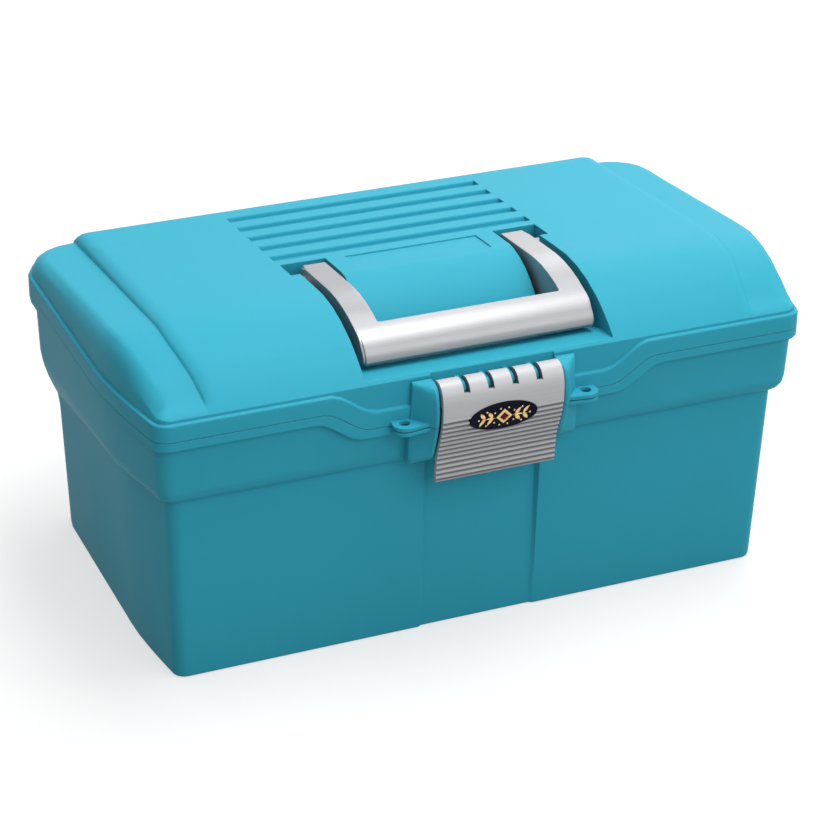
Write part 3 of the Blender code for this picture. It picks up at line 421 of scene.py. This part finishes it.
def place_mesh(name, mesh, finish, body):
    """A piece from a mesh, smooth between its sharp edges, that rides on a body."""
    mesh.materials.append(finish)
    mesh.shade_smooth()
    mesh.set_sharp_from_angle(angle=SHARP_EDGE)
    piece = bpy.data.objects.new(name, mesh)
    bpy.context.scene.collection.objects.link(piece)
    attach(piece, body)
    return piece


def add_piece(name, bm, finish, body):
    bmesh.ops.recalc_face_normals(bm, faces=bm.faces)
    mesh = bpy.data.meshes.new(name)
    bm.to_mesh(mesh)
    bm.free()
    return place_mesh(name, mesh, finish, body)


def skin(bm, rings):
    """Faces between rings of points, with a flat cap at either end."""
    loops = [[bm.verts.new(point) for point in ring] for ring in rings]
    count = len(loops[0])
    for lower, upper in zip(loops, loops[1:]):
        for i in range(count):
            j = (i + 1) % count
            bm.faces.new((lower[i], lower[j], upper[j], upper[i]))
    bm.faces.new(loops[0])
    bm.faces.new(loops[-1])


def prism(bm, outline, x0, x1):
    """A solid between two x values, from an outline of (y, z) points."""
    skin(bm, [[(x, y, z) for y, z in outline] for x in (x0, x1)])


def circle(centre, radius, steps):
    angles = [2.0 * pi * i / steps for i in range(steps)]
    return [(centre[0] + radius * cos(a), centre[1] + radius * sin(a)) for a in angles]


def smooth(t):
    t = min(max(t, 0.0), 1.0)
    return t * t * (3.0 - 2.0 * t)


def latch_face_y(z):
    """The latch's front without its ribs, at a height."""
    if z > ROLL_START_Z:
        share = min((z - ROLL_START_Z) / ROLL_RISE, 1.0)
        return LATCH_PIVOT[0] - ROLL_REACH * (1.0 - share ** ROLL_POWER) ** (1.0 / ROLL_POWER)
    if z > DRAW_END_Z:
        return FACE_Y + DRAW_IN * smooth((DRAW_START_Z - z) / DRAW_RUN) / smooth(DRAW_SHARE)
    return FOOT_Y + FOOT_LEAN * (DRAW_END_Z - z) / FOOT_RUN


def on_badge(x, rise, lift):
    """A point over the latch's curved face, at a height from the badge's centre."""
    z = BADGE_CENTRE_Z + rise
    return (x, latch_face_y(z) - lift, z)


def oval_ring(inset, lift, steps=72):
    """Points round the badge's oval, drawn in by an inset and standing over the face by a lift."""
    across, up = (half - inset for half in BADGE_HALF)
    angles = [2.0 * pi * i / steps for i in range(steps)]
    return [on_badge(across * cos(a), up * sin(a), lift) for a in angles]


def make_badge(finish):
    """An oval of enamel with a low rounded lip and a slightly domed middle."""
    bm = bmesh.new()
    skin(bm, [oval_ring(*ring) for ring in BADGE_RINGS])
    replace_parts(add_piece("badge_plate", bm, finish, "latch"), "latch_badge")


def latch_roll(steps=16):
    """(y, z) points over the latch's rolled top, from its crest down to the upright front."""
    points = []
    for i in range(1, steps + 1):
        t = radians(90.0 - 90.0 * i / steps)
        forward = ROLL_REACH * cos(t) ** (2.0 / ROLL_POWER)
        upward = ROLL_RISE * sin(t) ** (2.0 / ROLL_POWER)
        points.append((LATCH_PIVOT[0] - forward, ROLL_START_Z + upward))
    return points


def latch_ribs():
    """(y, z) points down the ribbed front."""
    points = []
    for i in range(RIB_COUNT):
        for share, depth in RIB_SHAPE:
            z = RIB_TOP_Z - RIB_PITCH * (i + share)
            points.append((latch_face_y(z) + RIB_DEPTH * depth, z))
    return points


def latch_section():
    """(y, z) outline of the latch: its front, its foot, its back with the bead, and its roll."""
    outline = latch_roll()
    outline += [(latch_face_y(z), z) for z in (0.1505, 0.1490, 0.1475)]
    outline += latch_ribs()
    foot = latch_face_y(FOOT_Z)
    for step, rise in ((0.0, 0.0005), (0.0006, 0.0), (0.0020, 0.0), (LATCH_PLATE, 0.0005)):
        outline.append((foot + step, LATCH_END_Z + rise))
    below_bead = (0.110, 0.116, 0.1204)
    bead_points = [(-0.1168, 0.1212), (-0.1164, 0.1228), (-0.1174, 0.1244)]
    above_bead = (0.1256, 0.129, 0.132, 0.136, 0.140, 0.144, 0.148, 0.153)
    outline += [(latch_face_y(z) + LATCH_PLATE, z) for z in below_bead]
    outline += bead_points
    outline += [(latch_face_y(z) + LATCH_PLATE, z) for z in above_bead]
    y, z = LATCH_PIVOT
    angles = [radians(225.0 + 15.0 * i) for i in range(16)]
    return outline + [(y + ROLL_RADIUS * cos(a), z + ROLL_RADIUS * sin(a)) for a in angles]


def carved(bm, cutters):
    """The mesh of a body with shapes cut out of it."""
    objects = []
    for shape in [bm] + cutters:
        bmesh.ops.recalc_face_normals(shape, faces=shape.faces)
        mesh = bpy.data.meshes.new("cut")
        shape.to_mesh(mesh)
        shape.free()
        objects.append(bpy.data.objects.new("cut", mesh))
        bpy.context.scene.collection.objects.link(objects[-1])
    body = objects[0]
    for cutter in objects[1:]:
        modifier = body.modifiers.new("cut", "BOOLEAN")
        modifier.operation = "DIFFERENCE"
        modifier.solver = "EXACT"
        modifier.object = cutter
    bpy.context.view_layer.update()
    result = bmesh.new()
    result.from_mesh(body.evaluated_get(bpy.context.evaluated_depsgraph_get()).to_mesh())
    for obj in objects:
        bpy.data.objects.remove(obj, do_unlink=True)
    return result


def in_groove(face):
    """Whether a face is the floor of a groove between the latch's ribs."""
    depth = face.center.y - latch_face_y(face.center.z)
    at_depth = 0.7 * RIB_DEPTH < depth < 1.3 * RIB_DEPTH
    return at_depth and face.center.z < RIB_TOP_Z and abs(face.normal.y) > 0.7


def in_slot(face):
    """Whether a face is a side wall of one of the latch's slots."""
    inside = abs(face.center.x) < 0.9 * LATCH_HALF
    return inside and face.center.z > RIB_TOP_Z and abs(face.normal.x) > 0.9


def make_latch(finish, painted_shade_finish):
    """The latch: a ribbed plate with a rolled top, bored for its rod, slotted, and sunk for its badge."""
    body, bore, slots, seat = [bmesh.new() for _ in range(4)]
    prism(body, latch_section(), -LATCH_HALF, LATCH_HALF)
    prism(bore, circle(LATCH_PIVOT, BORE_RADIUS, steps=24), -BORE_CUT_HALF, BORE_CUT_HALF)
    for x in SLOT_X:
        prism(slots, SLOT_OUTLINE, x - SLOT_HALF, x + SLOT_HALF)
    skin(seat, [oval_ring(-BADGE_SEAT_GAP, lift) for lift in BADGE_SEAT_LIFTS])
    latch = add_piece("latch_cover", carved(body, [bore, slots, seat]), finish, "latch")
    latch.data.materials.append(painted_shade_finish)
    # Rib valley floors and slot side walls take the darker silver: painted shade in these recesses
    for face in latch.data.polygons:
        if in_groove(face) or in_slot(face):
            face.material_index = 1
    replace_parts(latch, "latch_plate")


def leaf(bm, start, end, half_width):
    """A pointed leaf with a raised midrib."""
    (x0, z0), (x1, z1) = start, end
    length = ((x1 - x0) ** 2 + (z1 - z0) ** 2) ** 0.5
    across = (-(z1 - z0) / length, (x1 - x0) / length)
    rings = []
    for i in range(LEAF_STEPS + 1):
        share = i / LEAF_STEPS
        x, z = x0 + (x1 - x0) * share, z0 + (z1 - z0) * share
        wide = LEAF_TIP + half_width * sin(pi * share ** 0.8)
        ring = []
        for side, lift in LEAF_SECTION:
            ring.append(on_badge(x + side * wide * across[0], z + side * wide * across[1], lift))
        rings.append(ring)
    skin(bm, rings)


def bead(bm, x, rise, radius):
    """A small bead, a little flattened from front to back."""
    where = Matrix.Translation(on_badge(x, rise, BEAD_LIFT)) @ Matrix.Diagonal((1.0, 0.8, 1.0, 1.0))
    bmesh.ops.create_icosphere(bm, subdivisions=2, radius=radius, matrix=where)


def lozenge(bm, rings):
    """A solid square on its tip, from rings of (reach, lift)."""
    tips = ((1, 0), (0, 1), (-1, 0), (0, -1))
    corners = []
    for reach, lift in rings:
        corners.append([on_badge(x * reach, rise * reach, lift) for x, rise in tips])
    skin(bm, corners)


def make_ornament(gilt, stone):
    """A framed lozenge with a dark red stone, between two sprigs with small beads."""
    bm = bmesh.new()
    lozenge(bm, FRAME_RINGS)
    for side in (-1, 1):
        leaf(bm, (side * STEM_X[0], 0.0), (side * STEM_X[1], 0.0), STEM_HALF)
        for x in LEAF_ROOTS_X:
            for way in (-1, 1):
                root = (side * x, way * LEAF_ROOT_RISE)
                tip = (side * (x + LEAF_REACH[0]), way * LEAF_REACH[1])
                leaf(bm, root, tip, LEAF_HALF)
        bead(bm, side * END_BEAD_X, 0.0, END_BEAD_RADIUS)
        for x, rise in BEADS:
            for way in (-1, 1):
                bead(bm, side * x, way * rise, BEAD_RADIUS)
    ornament = add_piece("badge_sprigs", bm, gilt, "latch")
    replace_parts(ornament, "badge_ornament")
    bm = bmesh.new()
    lozenge(bm, STONE_RINGS)
    add_piece("badge_stone", bm, stone, "latch")


def refine_lid(corner):
    """Brings the shelf before the handle's bar up close to it, and draws the cheeks back at the top."""
    x, y, z = corner
    if all(abs(a - b) < CORNER_MATCH for a, b in zip((abs(x), y, z), SHELF_FOOT)):
        return Vector((x, *SHELF_FOOT_MOVED))
    if CHEEK_X[0] < abs(x) < CHEEK_X[1] and y < CHEEK_FRONT_Y and z > CHEEK_ROUND_Z:
        share = CHEEK_TOP_SHARE if z > CHEEK_TOP_Z else CHEEK_ROUND_SHARE
        return Vector((x, y + share * (CHEEK_ROOT_Y - y), z))
    return corner


def show(name, finish, refine=None):
    """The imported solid's own shape with smooth faces between its real edges."""
    solid = frame["nodes"][name]
    bm = bmesh.new()
    bm.from_mesh(solid.data)
    bmesh.ops.remove_doubles(bm, verts=bm.verts, dist=SAME_POINT)
    bmesh.ops.dissolve_limit(bm, angle_limit=FLAT_JOIN, verts=bm.verts, edges=bm.edges)
    corners = [refine(v.co.copy()) if refine else v.co.copy() for v in bm.verts]
    faces = [[v.index for v in f.verts] for f in bm.faces]
    bm.free()
    mesh = bpy.data.meshes.new(name + "_finish")
    mesh.from_pydata(corners, [], faces)
    piece = place_mesh(name + "_finish", mesh, finish, solid["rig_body"])
    weighted = piece.modifiers.new("even_shading", "WEIGHTED_NORMAL")
    weighted.keep_sharp = True
    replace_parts(piece, name)


place_camera()
make_world()
make_floor()
bpy.context.scene.view_settings.view_transform = "Standard"
area_light("overhead", (0.40, -0.05, 2.0), target=(0.05, 0.0, 0.15), size=(1.1, 0.8), power=22.0)
area_light("back_right", (0.95, 1.15, 1.05), target=(0.10, 0.0, 0.18), size=(0.9, 0.7), power=6.0)
area_light("front_fill", (0.6, -2.2, 1.75), target=(0.0, 0.0, 0.10), size=(2.2, 1.5), power=17.5)

teal = moulded_plastic("teal", (0.034, 0.370, 0.500), worn=(0.14, 0.52, 0.64), roughness=0.50,
                       edge_radius=0.0007)
silver = silver_plastic("silver", (0.335, 0.338, 0.35), roughness=0.38, edge_radius=0.0006,
                        metallic=0.55)
ribbed = silver_plastic("silver_ribbed", (0.47, 0.474, 0.49), roughness=0.50, edge_radius=0.00015,
                        metallic=0.25)
# A darker copy of the silver: painted shade for the latch's rib valleys and slot side walls
groove = silver_plastic("silver_painted_shade", (0.17, 0.172, 0.18), roughness=0.55, edge_radius=0.00015,
                        metallic=0.25)
navy = enamel("navy", (0.003, 0.0035, 0.013))
dark_red = enamel("dark_red", (0.10, 0.008, 0.006))
gold = metal("gold", (0.86, 0.62, 0.28), roughness=0.25, stretch=(300.0, 300.0, 300.0))
steel = metal("steel", (0.60, 0.60, 0.61), roughness=0.28, stretch=(60.0, 1500.0, 1500.0))

show("base_tub", teal)
show("lift_out_tray", teal)
show("carry_handle", silver)
for name in ("latch_rod", "handle_pin_left", "handle_pin_right", "hinge_pin_left", "hinge_pin_right"):
    show(name, steel)
show("lid_shell", teal, refine_lid)
make_latch(ribbed, groove)
make_badge(navy)
make_ornament(gold, dark_red)
